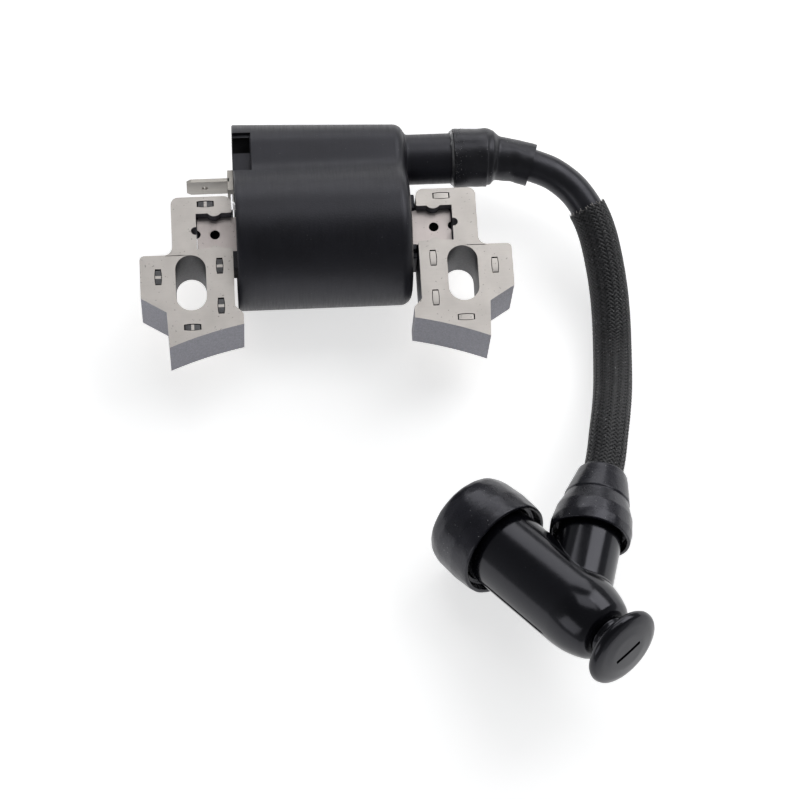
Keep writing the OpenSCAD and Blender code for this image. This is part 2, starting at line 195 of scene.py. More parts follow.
def lamination_edges(name, color):
    """The cut edges of a stack of thin sheets, seen from the side."""
    material = base_material(name, color, 0.5, metallic=0.75)
    coordinates = node(material, "ShaderNodeTexCoord")
    mapping = node(material, "ShaderNodeMapping")
    mapping.inputs["Scale"].default_value = (0.02 / MM, 0.02 / MM, 1 / MM)
    # About two sheets per millimetre
    sheets = node(material, "ShaderNodeTexWave", wave_type="BANDS", bands_direction="Z")
    sheets.inputs["Scale"].default_value = 0.62
    sheets.inputs["Distortion"].default_value = 0.5
    link(material, coordinates.outputs["Object"], mapping.inputs["Vector"])
    link(material, mapping.outputs["Vector"], sheets.inputs["Vector"])
    smear = ramp(material, noise_field(material, 2.5, stretch=(1, 1, 0.6), detail=4), 0.3, 0.7,
                 [c * 0.84 for c in color], [min(1, c * 1.12) for c in color])
    seams = ramp(material, sheets.outputs["Fac"], 0.05, 0.35, (0.74, 0.74, 0.76), (1, 1, 1))
    set_color(material, mix_colors(material, "MULTIPLY", smear, seams))
    bump(material, noise_field(material, 1.4, stretch=(1, 1, 0.3), detail=4), 0.02,
         under=bump(material, sheets.outputs["Fac"], 0.03))
    return material


# ---- Materials ----

STEEL_FACE = sheet_metal("steel_face", (0.54, 0.51, 0.485), 0.42, (0.25, 6, 1))
BAR_FACE = sheet_metal("bar_face", (0.6, 0.545, 0.53), 0.45, (6, 0.25, 1))
STEEL_EDGE = lamination_edges("steel_edge", (0.235, 0.235, 0.265))
# A darker copy of the same lamination edges: painted shade for the legs' bolt slot walls, the sunk
# interlock tongues and the bar's sides, which lie in shadow
SHADED_EDGE = lamination_edges("steel_edge_painted_shade", (0.12, 0.12, 0.125))
# Near-black lining, painted shadow inside pockets and holes: the interlock pockets and tongue ends, the
# bar's lock holes and the case's keying pocket
SHADOW_BLACK = moulded("painted_shadow_black", (0.002, 0.002, 0.002), 0.8, specular=0.1)
TIN_PLATE = sheet_metal("tin_plate", (0.42, 0.4, 0.37), 0.36, (0.4, 3, 1))
BRIGHT_STRIP = sheet_metal("bright_strip", (0.78, 0.78, 0.8), 0.25, (3, 0.4, 1))
CASE_PLASTIC = moulded("case_plastic", (0.0072, 0.0072, 0.01), 0.43, speck=0.05, grain=0.02,
                       grain_scale=3.0, streak=(6, 0.4, 0.4), specular=0.5)
BLACK_PLASTIC = moulded("black_plastic", (0.02, 0.02, 0.022), 0.5)
RESIN = moulded("potting_resin", (0.03, 0.03, 0.028), 0.35, grain=0.004)
NATURAL_PLASTIC = moulded("natural_plastic", (0.6, 0.56, 0.46), 0.45)
COPPER = sheet_metal("copper_wire", (0.6, 0.26, 0.1), 0.35, (6, 0.4, 0.4))
BRASS = sheet_metal("turned_brass", (0.72, 0.52, 0.2), 0.3, (1, 1, 4))
SPRING_STEEL = sheet_metal("spring_steel", (0.7, 0.7, 0.72), 0.22, (1, 1, 4))
BOARD = moulded("board_green", (0.03, 0.16, 0.06), 0.4)
TAN_CERAMIC = moulded("ceramic_tan", (0.4, 0.24, 0.1), 0.35)
WHITE_CERAMIC = moulded("white_ceramic", (0.7, 0.67, 0.6), 0.5)
SHRINK = moulded("shrink_tube", (0.009, 0.009, 0.0105), 0.36, speck=0.3, grain=0.03, grain_scale=1.2)
HOT_MELT = moulded("hot_melt", (0.2, 0.2, 0.205), 0.3, speck=0.5, spread=0.7, grain=0.05,
                   grain_scale=1.0, coat=0.5)
JACKET = moulded("lead_jacket", (0.013, 0.013, 0.016), 0.34, speck=0.03, grain=0.01, grain_scale=1.0)
LINER = moulded("sleeve_liner", (0.006, 0.006, 0.007), 0.7)
THREAD_END = moulded("thread_end", (0.35, 0.33, 0.31), 0.7)
RUBBER = moulded("boot_rubber", (0.0065, 0.0065, 0.0095), 0.27, speck=0.3, grain=0.025, grain_scale=1.2,
                 spread=0.4, specular=0.5)
PHENOLIC = moulded("cap_phenolic", (0.003, 0.0031, 0.0045), 0.17, speck=0.02, grain=0.006,
                   grain_scale=0.7, specular=0.45)


def strand_material():
    """Varnished dark thread with a few lighter fibres."""
    material = base_material("braid_thread", (0.02, 0.02, 0.021), 0.42, specular=0.5)
    fibres = noise_field(material, 1.5, detail=4)
    shade = ramp(material, fibres, 0.35, 0.62, (0.0045, 0.0045, 0.0055), (0.034, 0.034, 0.037))
    flecks = ramp(material, noise_field(material, 2.2, detail=1), 0.7, 0.75, (0, 0, 0), (0.2, 0.2, 0.2))
    set_color(material, mix_colors(material, "ADD", shade, flecks))
    set_roughness(material, map_range(material, fibres, 0.3, 0.7, 0.32, 0.6))
    bump(material, noise_field(material, 5, detail=3), 0.03)
    return material


BRAID = strand_material()


# ---- Shape helpers ----

def arc(cx, cy, radius, start, end, steps=10):
    """Points on an arc, with angles in degrees."""
    angles = [math.radians(start + (end - start) * i / steps) for i in range(steps + 1)]
    return [(cx + radius * math.cos(a), cy + radius * math.sin(a)) for a in angles]


def circle(cx, cy, radius):
    """A full circle of 24 points."""
    return arc(cx, cy, radius, 0, 345, 23)


def soften(points, radius, closed=True, steps=5):
    """Rounds every corner of a profile; a short side limits the rounding next to it."""
    rounded = []
    count = len(points)
    for i, point in enumerate(points):
        corner = Vector(point)
        if not closed and i in (0, count - 1):
            rounded.append(corner)
            continue
        before = Vector(points[i - 1]) - corner
        after = Vector(points[(i + 1) % count]) - corner
        reach = min(radius, before.length * 0.45, after.length * 0.45)
        start = corner + before.normalized() * reach
        end = corner + after.normalized() * reach
        for step in range(steps + 1):
            t = step / steps
            rounded.append(start * (1 - t) ** 2 + corner * 2 * t * (1 - t) + end * t ** 2)
    return [tuple(p) for p in rounded]


def catmull_rom(points, steps):
    """A smooth line through the points."""
    vectors = [Vector(p) for p in points]
    ends = [2 * vectors[0] - vectors[1], *vectors, 2 * vectors[-1] - vectors[-2]]
    line = []
    for a, b, c, d in zip(ends, ends[1:], ends[2:], ends[3:]):
        for i in range(steps):
            t = i / steps
            line.append(0.5 * (2 * b + (c - a) * t + (2 * a - 5 * b + 4 * c - d) * t ** 2
                               + (3 * b - a - 3 * c + d) * t ** 3))
    line.append(vectors[-1])
    return line


def frames_along(line):
    """For each point of a line: its direction and two sideways directions that don't twist."""
    frames = []
    side = None
    for i, point in enumerate(line):
        ahead = (line[min(i + 1, len(line) - 1)] - line[max(i - 1, 0)]).normalized()
        if side is None:
            side = ahead.cross(Vector((0, 0, 1))).normalized()
        side = (side - ahead * side.dot(ahead)).normalized()
        frames.append((point, side, side.cross(ahead)))
    return frames


# Depth of the pockets that a prism can have in its upper face
POCKET_DEPTH = 0.6
# Material numbers of a prism's faces, outer walls, holes' walls and pockets' walls
FACES, OUTER_WALLS, HOLE_WALLS, POCKET_WALLS = range(4)


class Shape:
    """Vertices in millimetres and faces with a material number, gathered into one piece."""

    def __init__(self):
        self.points = []
        self.faces = []
        self.slots = []

    def face(self, corners, slot=0):
        self.faces.append(corners)
        self.slots.append(slot)

    def ring(self, points):
        """Adds a ring of vertices and returns their numbers."""
        start = len(self.points)
        self.points.extend(Vector(p) for p in points)
        return list(range(start, len(self.points)))

    def bridge(self, first, second, slot=0):
        """Joins two rings. A ring of one vertex makes a fan."""
        count = max(len(first), len(second))
        for i in range(count):
            j = (i + 1) % count
            corners = [first[i % len(first)], first[j % len(first)],
                       second[j % len(second)], second[i % len(second)]]
            unique = list(dict.fromkeys(corners))
            if len(unique) > 2:
                self.face(unique, slot)

    def lathe(self, profile, sides=96, closed=True, wobble=None):
        """Turns (radius, z) points about Z. wobble(angle, radius, z) gives a change of radius and z."""
        rings = []
        for radius, z in profile:
            if radius < 1e-6:
                rings.append(self.ring([(0, 0, z)]))
                continue
            points = []
            for i in range(sides):
                angle = TAU * i / sides
                dr, dz = wobble(angle, radius, z) if wobble else (0, 0)
                points.append(((radius + dr) * math.cos(angle), (radius + dr) * math.sin(angle), z + dz))
            rings.append(self.ring(points))
        for first, second in zip(rings, rings[1:]):
            self.bridge(first, second)
        if closed:
            self.bridge(rings[-1], rings[0])

    def tube(self, line, radius, sides=32, caps=True):
        """Sweeps a circle along a line; radius(i, angle) gives its size at point i."""
        rings = []
        for i, (point, side, up) in enumerate(frames_along(line)):
            points = []
            for k in range(sides):
                angle = TAU * k / sides
                points.append(point + radius(i, angle) * (math.cos(angle) * side + math.sin(angle) * up))
            rings.append(self.ring(points))
        for first, second in zip(rings, rings[1:]):
            self.bridge(first, second)
        if caps:
            self.face(rings[0])
            self.face(rings[-1])
        return rings

    def prism(self, outline, z0, z1, holes=(), pockets=()):
        """Extrudes an outline, which may have holes and shallow pockets."""
        def ring_at(loop, z):
            return self.ring([(x, y, z) for x, y in loop])

        def cap(loops, rings, slot):
            numbers = [n for ring in rings for n in ring]
            flat_loops = [[Vector((x, y, 0)) for x, y in loop] for loop in loops]
            for triangle in tessellate_polygon(flat_loops):
                self.face([numbers[i] for i in triangle], slot)

        through = [outline, *holes]
        low = [ring_at(loop, z0) for loop in through]
        high = [ring_at(loop, z1) for loop in through]
        for number, (a, b) in enumerate(zip(low, high)):
            self.bridge(a, b, OUTER_WALLS if number == 0 else HOLE_WALLS)
        cap(through, low, FACES)
        rims = [ring_at(loop, z1) for loop in pockets]
        cap([*through, *pockets], [*high, *rims], FACES)
        for loop, rim in zip(pockets, rims):
            floor = ring_at(loop, z1 - POCKET_DEPTH)
            self.bridge(rim, floor, POCKET_WALLS)
            cap([loop], [floor], POCKET_WALLS)

    def block(self, low, high):
        """A box from its lowest to its highest corner."""
        (x0, y0, z0), (x1, y1, z1) = low, high
        base = self.ring([(x0, y0, z0), (x1, y0, z0), (x1, y1, z0), (x0, y1, z0)])
        top = self.ring([(x0, y0, z1), (x1, y0, z1), (x1, y1, z1), (x0, y1, z1)])
        self.bridge(base, top)
        self.face(base)
        self.face(top)

    def build(self, name, materials, place=None, sharp=38):
        """Makes the object; place is in millimetres, and edges over sharp degrees stay crisp."""
        place = place or Matrix.Identity(4)
        mesh = bpy.data.meshes.new(name)
        mesh.from_pydata([(place @ p) * MM for p in self.points], [], self.faces)
        for material in materials:
            mesh.materials.append(material)
        for polygon, slot in zip(mesh.polygons, self.slots):
            polygon.material_index = slot
        shade(mesh, sharp)
        made = bpy.data.objects.new(name, mesh)
        bpy.context.scene.collection.objects.link(made)
        return made


def shade(mesh, sharp):
    """Faces outward, smooth, with crisp edges where two faces meet at more than sharp degrees."""
    work = bmesh.new()
    work.from_mesh(mesh)
    bmesh.ops.recalc_face_normals(work, faces=work.faces)
    for face in work.faces:
        face.smooth = True
    for edge in work.edges:
        if len(edge.link_faces) == 2:
            edge.smooth = edge.calc_face_angle(0) < math.radians(sharp)
    work.to_mesh(mesh)
    work.free()


def bevel(piece, width_mm, segments=2):
    """Rounds the crisp edges a little."""
    made = piece.modifiers.new("worn_edges", "BEVEL")
    made.width = width_mm * MM
    made.segments = segments
    made.limit_method = "ANGLE"
    made.angle_limit = math.radians(40)
    made.harden_normals = True


def cut_block(piece, low, high, material, place):
    """Cuts a block out of a piece; the material lines the cut."""
    shape = Shape()
    shape.block(low, high)
    tool = shape.build("cutter", [material], place=place)
    made = piece.modifiers.new("difference", "BOOLEAN")
    made.operation = "DIFFERENCE"
    made.solver = "EXACT"
    made.object = tool
    bpy.context.view_layer.update()
    evaluated = piece.evaluated_get(bpy.context.evaluated_depsgraph_get())
    result = bpy.data.meshes.new_from_object(evaluated)
    piece.modifiers.clear()
    piece.data = result
    bpy.data.objects.remove(tool)


def install(piece, body, slot, *nodes):
    """Ties a finished piece to its CAD body and hides the CAD nodes that it stands for. Its slot is not
    used.
    """
    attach(piece, body)
    if nodes:
        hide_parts(*nodes)


# ---- Main sizes, as in the CAD source ----

BAR_Y = -0.275
BAR_Z = 14.9
AT_BAR = Matrix.Translation((0, BAR_Y, BAR_Z))
# Turns a shape made about Z so that it lies along X
ALONG_X = Matrix.Rotation(math.radians(90), 4, "Y")
LOBE_RISE = 17.8
TOWER = AT_BAR @ Matrix.Translation((0, LOBE_RISE, 0)) @ ALONG_X

LEAD_ROUTE = [
    (22, 17.5, 14.9), (28, 17.5, 14.9), (34, 17.5, 14.9), (38, 17.2, 14.8), (42, 16.5, 14.6),
    (46, 15.2, 14.4), (50.2, 13.3, 13.9), (54.1, 10.1, 13), (57, 5.9, 11.8), (58.9, 1, 10.3),
    (60.1, -5, 8.4), (60.8, -11, 6.6), (61, -17, 5.3), (60.8, -23, 4.7), (60.3, -29, 5.8),
    (59.6, -34.6, 7.9), (58.6, -40, 10.4), (57.4, -45.6, 12.6), (56.1, -51.8, 14.1),
    (54.1, -58.8, 15.6), (52.1, -65.8, 17.1), (50.1, -72.8, 18.6),
]
LEAD_R = 3.5
SLEEVE_R = 4.25

TIP = Vector(LEAD_ROUTE[-1])
BRANCH = (Vector(LEAD_ROUTE[-4]) - TIP).normalized()
CAP_JOINT = TIP - 14 * BRANCH
AT_CAP = (
    Matrix.Translation(CAP_JOINT)
    @ Matrix.Rotation(math.atan2(BRANCH.y, BRANCH.x), 4, "Z")
    @ Matrix.Rotation(math.acos(BRANCH.z), 4, "Y")
    @ Matrix.Rotation(math.radians(72), 4, "Z")
)
AT_PLUG = AT_CAP @ Matrix.Rotation(math.radians(53.5), 4, "Y")


# ---- Lead ----

# Steps between two points of the route
ROUTE_STEPS = 10
lead_line = catmull_rom(LEAD_ROUTE, ROUTE_STEPS)


def rough(point, scale, amount):
    """A small smooth unevenness at a place."""
    return amount * noise.noise(Vector(point) * scale)


def lead_size(i, angle):
    """The lead's radius, with a little unevenness."""
    around = Vector((math.cos(angle), math.sin(angle), 0))
    return LEAD_R + rough(lead_line[i] + around, 0.3, 0.03)


lead_shape = Shape()
lead_shape.tube(lead_line, lead_size, sides=48)
lead = lead_shape.build("lead_jacket", [JACKET])
install(lead, "coil", "lead_jacket", "ht_lead_jacket")


def part_of_line(line, start, end):
    """The stretch of a line between two distances along it."""
    kept = []
    travelled = 0
    for a, b in zip(line, line[1:]):
        step = (b - a).length
        if start <= travelled <= end:
            kept.append(a)
        travelled += step
    return kept


def line_length(line):
    return sum((b - a).length for a, b in zip(line, line[1:]))


LEAD_LENGTH = line_length(lead_line)

# ---- Braided sleeve: two families of flat strands over and under each other ----

# It starts at the ninth route point and ends inside the cap's boot, short of the lead's end
SLEEVE_FIRST_POINT = 8
SLEEVE_SHORT_OF_END = 16
SLEEVE_START = line_length(lead_line[:SLEEVE_FIRST_POINT * ROUTE_STEPS + 1])
SLEEVE_END = LEAD_LENGTH - SLEEVE_SHORT_OF_END
sleeve_line = part_of_line(lead_line, SLEEVE_START, SLEEVE_END)
# Finer steps than the lead's, so that the strands can weave
sleeve_line = catmull_rom(sleeve_line[::4] + [sleeve_line[-1]], 12)
sleeve_frames = frames_along(sleeve_line)
sleeve_reach = [0.0]
for a, b in zip(sleeve_line, sleeve_line[1:]):
    sleeve_reach.append(sleeve_reach[-1] + (b - a).length)

LINER_DEPTH = 0.5
liner_shape = Shape()
liner_shape.tube(sleeve_line, lambda i, angle: SLEEVE_R - LINER_DEPTH, sides=32)
liner = liner_shape.build("sleeve_liner", [LINER])
install(liner, "coil", "braid", "braided_sleeve")

# Strands in each family, and the length in which a strand goes once round
STRANDS = 28
LAY_LENGTH = 26.0
# Width and thickness of a strand, its mean depth in the sleeve, and how far it rises and dips
STRAND_W = 0.64
STRAND_T = 0.18
STRAND_DEPTH = 0.27
WEAVE = 0.09


def strand(shape, family, number):
    """One strand as a swept flat oval that rises and dips through the weave."""
    rings = []
    for (point, side, up), s in zip(sleeve_frames, sleeve_reach):
        turn = TAU * (number / STRANDS + family * s / LAY_LENGTH)
        # Over two strands of the other family, then under two
        crossed = number + family * 2 * STRANDS * s / LAY_LENGTH
        phase = (number + crossed + 0.5) % 4
        # A wave with flat tops
        height = WEAVE * family * max(-1, min(1, 1.7 * math.sin(math.pi * phase / 2)))
        radial = math.cos(turn) * side + math.sin(turn) * up
        around = -math.sin(turn) * side + math.cos(turn) * up
        centre_r = SLEEVE_R - STRAND_DEPTH + height
        flat = []
        for k in range(6):
            angle = TAU * k / 6
            flat.append(point + radial * (centre_r + STRAND_T / 2 * math.sin(angle))
                        + around * (STRAND_W / 2 * math.cos(angle)))
        rings.append(shape.ring(flat))
    for first, second in zip(rings, rings[1:]):
        shape.bridge(first, second)
    shape.face(rings[0])
    shape.face(rings[-1])


braid_shape = Shape()
for family_sign in (1, -1):
    for strand_number in range(STRANDS):
        strand(braid_shape, family_sign, strand_number)
braid = braid_shape.build("sleeve_braid", [BRAID], sharp=80)
install(braid, "coil", "braid")

# Frayed thread ends at the sleeve's upper rim
FRAYED_ENDS = 90
THREAD_R = 0.07
random.seed(7)
fray_shape = Shape()
rim_point, rim_side, rim_up = sleeve_frames[0]
rim_ahead = (sleeve_line[1] - sleeve_line[0]).normalized()
for i in range(FRAYED_ENDS):
    turn = random.uniform(0, TAU)
    radial = math.cos(turn) * rim_side + math.sin(turn) * rim_up
    around = -math.sin(turn) * rim_side + math.cos(turn) * rim_up
    inset = random.uniform(0.15, 0.4)
    root = rim_point + radial * (SLEEVE_R - inset) + rim_ahead * random.uniform(-0.1, 0.5)
    lean = random.uniform(-0.5, 0.5)
    back = random.uniform(0.15, 0.55)
    tip = root - rim_ahead * back + around * lean * 0.6 + radial * random.uniform(-0.1, 0.15)
    fray_shape.tube([root, (root + tip) / 2 + radial * 0.04, tip], lambda i, angle: THREAD_R, sides=5)
fray = fray_shape.build("sleeve_frayed_ends", [THREAD_END])
install(fray, "coil", "braid")


# ---- Heat-shrink tube and its squeezed-out adhesive ----

shrink_route = [(28.6, 17.5, 14.9), (32, 17.5, 14.9), (35.4, 17.45, 14.9), (36.6, 17.35, 14.9),
                (38.4, 17.15, 14.8), (42, 16.5, 14.6), (45.4, 15.4, 14.4)]
SHRINK_STEPS = 12
SHRINK_WALL = 0.55
shrink_line = catmull_rom(shrink_route, SHRINK_STEPS)
shrink_sizes = [6.3, 6.25, 6.3, 5.85, 4.75, 4.55, 4.6]


def shrink_size(i):
    """The tube's radius at a point of its line."""
    t = min(i / SHRINK_STEPS, len(shrink_sizes) - 1.001)
    step = int(t)
    blend = t - step
    blend = blend * blend * (3 - 2 * blend)
    return shrink_sizes[step] * (1 - blend) + shrink_sizes[step + 1] * blend


shrink_shape = Shape()
outer_rings = shrink_shape.tube(
    shrink_line,
    lambda i, angle: shrink_size(i)
    + rough(shrink_line[i] + 4 * Vector((0, math.cos(angle), math.sin(angle))), 0.45, 0.12),
    sides=72, caps=False,
)
inner_rings = shrink_shape.tube(
    shrink_line,
    lambda i, angle: min(shrink_size(i) - SHRINK_WALL, 5.6),
    sides=72, caps=False,
)
shrink_shape.bridge(outer_rings[0], inner_rings[0])
shrink_shape.bridge(outer_rings[-1], inner_rings[-1])
shrink = shrink_shape.build("heat_shrink_sleeve", [SHRINK])
install(shrink, "coil", "shrink_tube", "heat_shrink_tube")

bead_shape = Shape()
bead_shape.lathe(
    soften([(5.42, 28.0), (5.7, 28.05), (6.1, 28.5), (5.42, 28.5)], 0.2), sides=120,
    wobble=lambda angle, radius, z: (
        rough((4 * math.cos(angle), 4 * math.sin(angle), z), 0.9, 0.18) if radius > 5.5 else 0,
        -abs(rough((6 * math.cos(angle), 6 * math.sin(angle), 3), 0.7, 0.4)) if z < 28.2 else 0,
    ),
)
# Crumbs of set adhesive on the tube next to its edge
CRUMBS = 260
CRUMB_PLACE_R = 6.32
random.seed(3)
for i in range(CRUMBS):
    angle = random.uniform(0, TAU)
    size = random.uniform(0.04, 0.12)
    z = 28.65 + 2.6 * random.random() ** 2
    centre = Vector((CRUMB_PLACE_R * math.cos(angle), CRUMB_PLACE_R * math.sin(angle), z))
    crumb = bead_shape.ring([centre + Vector((0, 0, size)), centre - Vector((0, 0, size))])
    corners = [Vector((math.cos(turn), math.sin(turn), 0)) for turn in (0, 1.6, 3.1, 4.7)]
    belt = bead_shape.ring([centre + size * corner for corner in corners])
    bead_shape.bridge(crumb[:1], belt)
    bead_shape.bridge(crumb[1:], belt)
bead = bead_shape.build("adhesive_bead_ring", [HOT_MELT], place=TOWER)
install(bead, "coil", "hot_melt", "adhesive_bead")


# ---- Laminated core ----

LEG_IN = 19.5
LEG_OUT = 32.2
LEG_TOP = 7.9
EAR_X = 39.1
EAR_TOP = -5.2
LOCK_X = 23.1
HALF_BAR = 4.0
HALF_BAR_T = 4.45
LEG_HALF_T = 6.7
FOOT_IN = 17.8
FOOT_OUT = 33.4
FOOT_Y = -26
FLYWHEEL_R = 88.9
WHEEL_Y = FOOT_Y - math.sqrt(FLYWHEEL_R ** 2 - FOOT_OUT ** 2)


def leg_outline():
    """The right leg, anticlockwise from the window's upper lip."""
    def wheel(x):
        return (x, WHEEL_Y + math.sqrt(FLYWHEEL_R ** 2 - x ** 2))

    foot = [wheel(FOOT_IN + (FOOT_OUT - FOOT_IN) * i / 20) for i in range(21)]
    return [
        *arc(LEG_IN + 0.25, HALF_BAR + 0.25, 0.25, 270, 180, 3),
        *arc(LEG_IN + 1.6, LEG_TOP - 1.6, 1.6, 180, 90, 8),
        *arc(LEG_OUT - 1.6, LEG_TOP - 1.6, 1.6, 90, 0, 8),
        *arc(LEG_OUT + 1.8, EAR_TOP + 1.8, 1.8, 180, 270, 8),
        *arc(EAR_X - 1, EAR_TOP - 1, 1, 90, 0, 6),
        *arc(EAR_X - 0.5, -14.5, 0.5, 0, -60, 4),
        (33.8, -18.1),
        *reversed(foot),
        (FOOT_IN, -18.9),
        (LEG_IN, -17.1),
        *arc(LEG_IN + 0.25, -HALF_BAR - 0.25, 0.25, 180, 90, 3),
        *arc(LOCK_X, -HALF_BAR - 1.1, 1.7, 139.7, 40.3, 8),
        (27, -HALF_BAR),
        *arc(27.2, 0.1, 0.9, 257.2, 462.8, 10),
        (27, HALF_BAR),
        *arc(LOCK_X, HALF_BAR + 1, 1.7, -36, -144, 8),
    ]


def stake_outline(x, y, upright):
    """A pressed interlock: short straight ends and slightly bulging long sides."""
    half = [(1.8, 0.62), (0.9, 0.74), (0, 0.78), (-0.9, 0.74), (-1.8, 0.62)]
    loop = half + [(-a, -b) for a, b in half]
    return [(x - b, y + a) if upright else (x + a, y + b) for a, b in loop]


def stake_tongue(shape, x, y, upright, top, sunk, shade_painted):
    """The sheared strip inside an interlock: sunk in the middle by a little, deeper at both ends."""
    steps = 10
    length = 3.1
    base = top - POCKET_DEPTH + 0.01
    strips = []
    for i in range(steps + 1):
        along = length * (i / steps - 0.5)
        off_middle = abs(2 * i / steps - 1)
        depth = sunk + 0.07 * off_middle ** 3
        half_width = 0.63 - 0.1 * off_middle ** 2
        corners = [(along, -half_width, top - depth), (along, half_width, top - depth),
                   (along, half_width, base), (along, -half_width, base)]
        if upright:
            strips.append(shape.ring([(x - b, y + a, z) for a, b, z in corners]))
        else:
            strips.append(shape.ring([(x + a, y + b, z) for a, b, z in corners]))
    for i, (first, second) in enumerate(zip(strips, strips[1:])):
        # Only the two middle strips of a smudged one stay bright
        # On a shade-painted tongue all strips but the two middle ones take the darker edge colour,
        # painted shade
        dark = shade_painted and i not in (4, 5)
        shape.bridge(first, second, HOLE_WALLS if dark else FACES)
    # The tongue's ends take the near-black lining, painted shadow
    shape.face(strips[0], POCKET_WALLS)
    shape.face(strips[-1], POCKET_WALLS)


# Places of the interlocks, and whether they stand upright
STAKES = [
    (24.9, 6.2, False), (22.4, -8, True), (35.3, -10.1, True), (22.4, -17, True), (28.5, -21.6, False),
]
SLOT = arc(28.5, -8.6, 3.2, 0, 180, 24) + arc(28.5, -14.6, 3.2, 180, 360, 24)


def leg(name, mirrored):
    """One leg of the core, with its bolt slot and interlocks."""
    side = -1 if mirrored else 1
    # The left leg's interlocks are struck deeper
    sunk = 0.1 if mirrored else 0.02
    shape = Shape()
    shape.prism(
        [(side * x, y) for x, y in leg_outline()],
        -LEG_HALF_T, LEG_HALF_T,
        holes=[[(side * x, y) for x, y in SLOT]],
        pockets=[[(side * x, y) for x, y in stake_outline(*stake)] for stake in STAKES],
    )
    for x, y, upright in STAKES:
        # The left leg's tongues are also painted darker, as shade
        stake_tongue(shape, side * x, y, upright, LEG_HALF_T, sunk, shade_painted=mirrored)
    # Bolt slot walls take the darker edge copy and interlock pockets the near-black lining: painted shade
    piece = shape.build(name, [STEEL_FACE, STEEL_EDGE, SHADED_EDGE, SHADOW_BLACK], place=AT_BAR)
    bevel(piece, 0.06)
    return piece


install(leg("left_leg_stack", True), "coil", "laminated_steel", "left_leg_core")
install(leg("right_leg_stack", False), "coil", "laminated_steel", "right_leg_core")


def bar_outline():
    """Right half from the bottom up, then its mirror image."""
    end = 26.85
    top = HALF_BAR - 0.05
    right = [
        *arc(LOCK_X, -HALF_BAR - 1.1, 1.75, 138.9, 41.1, 8),
        (end - 0.4, -top), (end, -top + 0.4),
        *arc(end + 0.2, 0.2, 0.9, 257.2, 102.8, 10),
        (end, top - 0.4), (end - 0.4, top),
        *arc(LOCK_X, HALF_BAR + 1, 1.75, -36.9, -143.1, 8),
    ]
    return right + [(-x, y) for x, y in reversed(right)]


bar_shape = Shape()
bar_shape.prism(
    bar_outline(), -HALF_BAR_T, HALF_BAR_T,
    holes=[circle(s * LOCK_X, 0, 1.0) for s in (-1, 1)],
)
# The bar's sides take the darker edge copy, painted shade, and its lock holes the near-black lining,
# painted shadow
bar = bar_shape.build("centre_bar_stack", [BAR_FACE, SHADED_EDGE, SHADOW_BLACK], place=AT_BAR)
bevel(bar, 0.08)
install(bar, "coil", "laminated_steel", "centre_bar_core")


# ---- Moulded case ----

CASE_LEFT = -18.7
CASE_RIGHT = 18.1
CASE_ROUND = 2.4
BARREL_RISE = 0.3
BARREL_R = 14.9
LOBE_R = 8.75
LOBE_DRAFT = 1.1
WALL = 1.6
# Length over which the rim is drawn in, and softness of the valley between barrel and lobe
RIM_ROUND = 0.3
VALLEY = 5.5
INNER_VALLEY = 0.5
# A point inside both barrel and lobe, from which every ray meets the skin once
SKIN_CENTRE_Y = 11.5
# Steps towards the skin, the last ones being very small
SKIN_STEPS = 60


def skin_ring(barrel_r, lobe_r, x, blend, sides=144):
    """Ring at x of a barrel and a lobe that run into each other with a soft valley."""
    points = []
    for i in range(sides):
        angle = TAU * i / sides
        dy, dz = math.cos(angle), math.sin(angle)
        reach = 0
        for _ in range(SKIN_STEPS):
            y, z = SKIN_CENTRE_Y + dy * reach, dz * reach
            barrel = math.hypot(y - BARREL_RISE, z) - barrel_r
            lobe = math.hypot(y - LOBE_RISE, z) - lobe_r
            overlap = max(blend - abs(barrel - lobe), 0) / blend
            reach -= min(barrel, lobe) - overlap ** 2 * blend / 4
        points.append((x, SKIN_CENTRE_Y + dy * reach, dz * reach))
    return points


def case_skin(x):
    """Ring of the case's outside at x, drawn in at the rim and at the rounded closed end."""
    draft = LOBE_DRAFT * (x - CASE_LEFT) / (CASE_RIGHT - CASE_LEFT)
    past = max(0, x - (CASE_RIGHT - CASE_ROUND))
    drawn_in = CASE_ROUND - math.sqrt(max(0, CASE_ROUND ** 2 - past ** 2))
    drawn_in += max(0, RIM_ROUND - (x - CASE_LEFT)) ** 2 * 3
    return skin_ring(BARREL_R - drawn_in, LOBE_R - draft - drawn_in, x, VALLEY)


def case_cavity(x):
    """Ring of the case's inside at x."""
    return skin_ring(BARREL_R - WALL, LOBE_R - LOBE_DRAFT - WALL, x, INNER_VALLEY)


rim_stations = [CASE_LEFT + step for step in (0, 0.08, 0.18, RIM_ROUND)]
straight_stations = [CASE_LEFT + 1 + i * (CASE_RIGHT - CASE_ROUND - CASE_LEFT - 1) / 8 for i in range(9)]
round_stations = [CASE_RIGHT - CASE_ROUND * (1 - math.sin(math.radians(a))) for a in range(9, 91, 9)]

case_shape = Shape()
case_rings = [
    case_shape.ring([(CASE_RIGHT - WALL, SKIN_CENTRE_Y, 0)]),
    case_shape.ring(case_cavity(CASE_RIGHT - WALL)),
    case_shape.ring(case_cavity(CASE_LEFT)),
    *[case_shape.ring(case_skin(x)) for x in rim_stations + straight_stations + round_stations],
    case_shape.ring([(CASE_RIGHT, SKIN_CENTRE_Y, 0)]),
]
for first, second in zip(case_rings, case_rings[1:]):
    case_shape.bridge(first, second)
case = case_shape.build("case_shell", [CASE_PLASTIC], place=AT_BAR)

